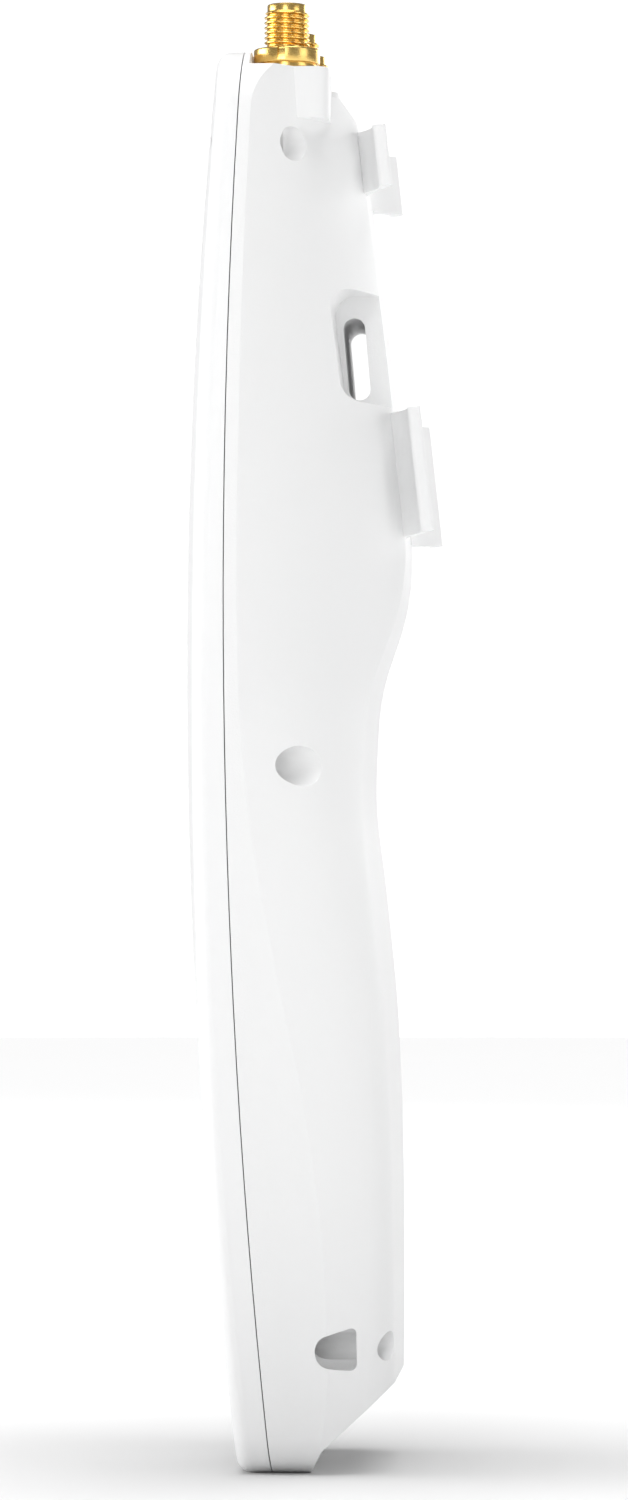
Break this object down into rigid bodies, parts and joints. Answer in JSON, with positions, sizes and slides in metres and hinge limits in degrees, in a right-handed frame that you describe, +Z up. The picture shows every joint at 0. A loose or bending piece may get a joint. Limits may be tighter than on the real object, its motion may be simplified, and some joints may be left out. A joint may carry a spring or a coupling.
{
  "type": "directional access-point antenna",
  "caption": "Slim directional antenna in a sealed white case with gold threaded coaxial jacks on top and rails on its back that carry an access point.",
  "frame": {"origin": "under the middle of the case, level with the bottom of its foot", "axes": "+Z up along the case towards the jacks, +X across the case, -Y out of the radome in the direction the antenna radiates, +Y towards the rails"},
  "size_m": [0.0868, 0.0356, 0.2071],
  "materials": {
    "radome_plastic": "satin white UV-stable ASA moulding",
    "housing_plastic": "fine-textured white ASA moulding",
    "seal_rubber": "silicone cord",
    "screw_steel": "stainless, machined",
    "gold_plate": "gold-plated brass, polished",
    "contact_gold": "gold-plated contact",
    "dielectric_ptfe": "turned PTFE",
    "nut_brass": "plated brass, machined",
    "flange_rubber": "flat ring",
    "reflector_aluminium": "rolled sheet",
    "board_laminate": "green glass-epoxy with solder mask",
    "track_copper": "etched copper",
    "element_plate": "tinned brass sheet",
    "nylon_natural": "natural nylon",
    "coax_jacket": "extruded jacket",
    "ferrule_tin": "tinned"
  },
  "bodies": {
    "root": {"board_screws": "screw_steel", "board_spacers": "nylon_natural", "case_screws": "screw_steel", "coax_ferrules": "ferrule_tin", "director_discs": "element_plate", "driven_discs": "element_plate", "element_rivets": "nylon_natural", "feed_board": "board_laminate", "feed_tracks": "track_copper", "front_radome": "radome_plastic", "front_sleeves": "nylon_natural", "left_coax": "coax_jacket", "left_jack_body": "gold_plate", "left_jack_dielectric": "dielectric_ptfe", "left_jack_nut": "nut_brass", "left_jack_pin": "contact_gold", "left_jack_seal": "flange_rubber", "left_jack_washer": "nut_brass", "lower_low_band_plate": "element_plate", "middle_coax": "coax_jacket", "middle_jack_body": "gold_plate", "middle_jack_dielectric": "dielectric_ptfe", "middle_jack_nut": "nut_brass", "middle_jack_pin": "contact_gold", "middle_jack_seal": "flange_rubber", "middle_jack_washer": "nut_brass", "perimeter_seal": "seal_rubber", "rear_housing": "housing_plastic", "reflector_plate": "reflector_aluminium", "right_coax": "coax_jacket", "right_jack_body": "gold_plate", "right_jack_dielectric": "dielectric_ptfe", "right_jack_nut": "nut_brass", "right_jack_pin": "contact_gold", "right_jack_seal": "flange_rubber", "right_jack_washer": "nut_brass", "upper_low_band_plate": "element_plate"}
  },
  "joints": []
}
